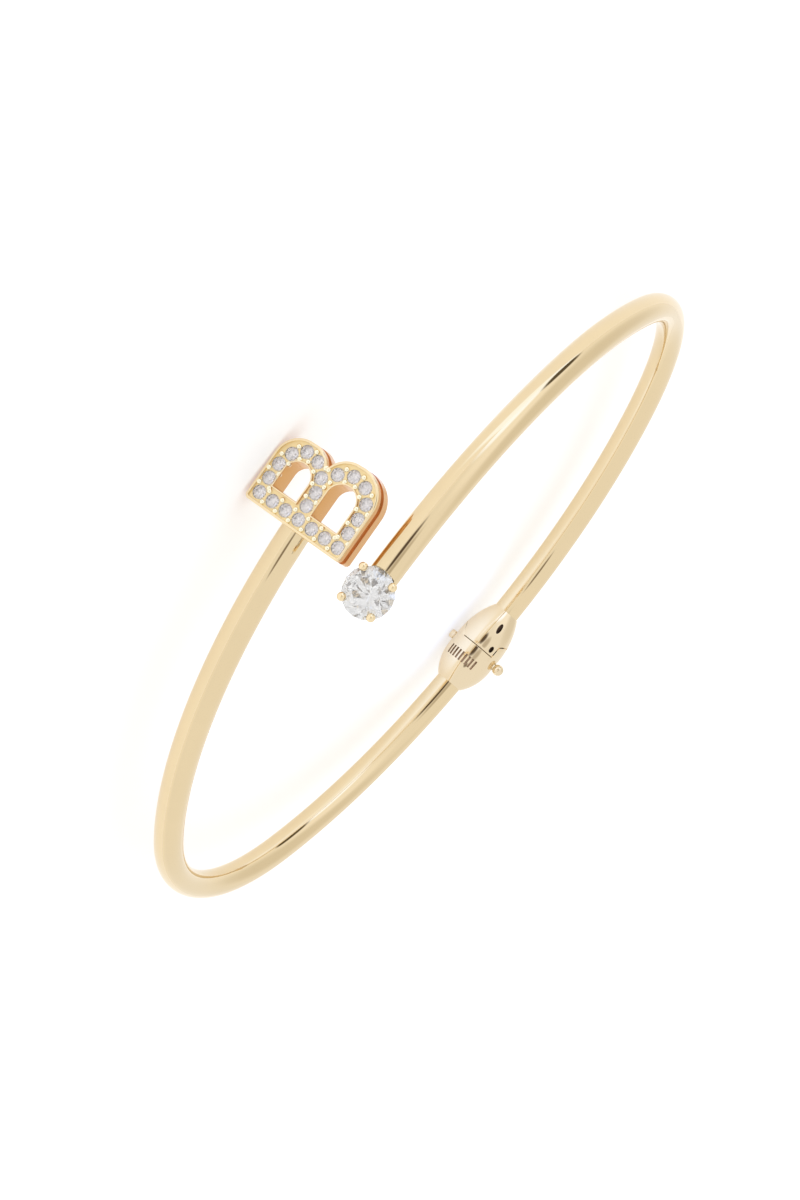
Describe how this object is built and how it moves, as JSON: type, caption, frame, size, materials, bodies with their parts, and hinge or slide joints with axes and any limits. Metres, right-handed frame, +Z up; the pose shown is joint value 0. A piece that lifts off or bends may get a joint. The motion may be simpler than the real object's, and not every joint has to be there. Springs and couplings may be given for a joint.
{
  "type": "initial bangle",
  "caption": "Hinged bypass bangle of round polished wire: one arm ends in a stone-set letter, the other in a round stone in claws.",
  "frame": {"origin": "middle of the bangle's box, on the surface that it lies on", "axes": "+X across the oval towards the letter's arm, +Y towards the hinge, +Z up"},
  "size_m": [0.0624, 0.053, 0.0143],
  "materials": {
    "gold": "polished yellow gold tone",
    "centre_stone": "clear cut stone",
    "small_stone": "clear cut stone"
  },
  "bodies": {
    "letter_side": {"letter_arm": "gold", "hinge_pin": "gold", "pave_stone_01": "small_stone", "pave_stone_02": "small_stone", "pave_stone_03": "small_stone", "pave_stone_04": "small_stone", "pave_stone_05": "small_stone", "pave_stone_06": "small_stone", "pave_stone_07": "small_stone", "pave_stone_08": "small_stone", "pave_stone_09": "small_stone", "pave_stone_10": "small_stone", "pave_stone_11": "small_stone", "pave_stone_12": "small_stone", "pave_stone_13": "small_stone", "pave_stone_14": "small_stone", "pave_stone_15": "small_stone", "pave_stone_16": "small_stone", "pave_stone_17": "small_stone", "pave_stone_18": "small_stone", "pave_stone_19": "small_stone", "pave_stone_20": "small_stone", "pave_stone_21": "small_stone"},
    "stone_side": {"stone_arm": "gold", "centre_stone": "centre_stone"}
  },
  "joints": [
    {"name": "hinge", "type": "hinge", "parent": "letter_side", "child": "stone_side", "pos_m": [0.00025, 0.02422, 0.00276], "axis": [0, -0.1129, -0.9936], "range_deg": [0, 28], "stiffness_Nm_per_rad": 0.01, "springref_deg": -17.19}
  ]
}
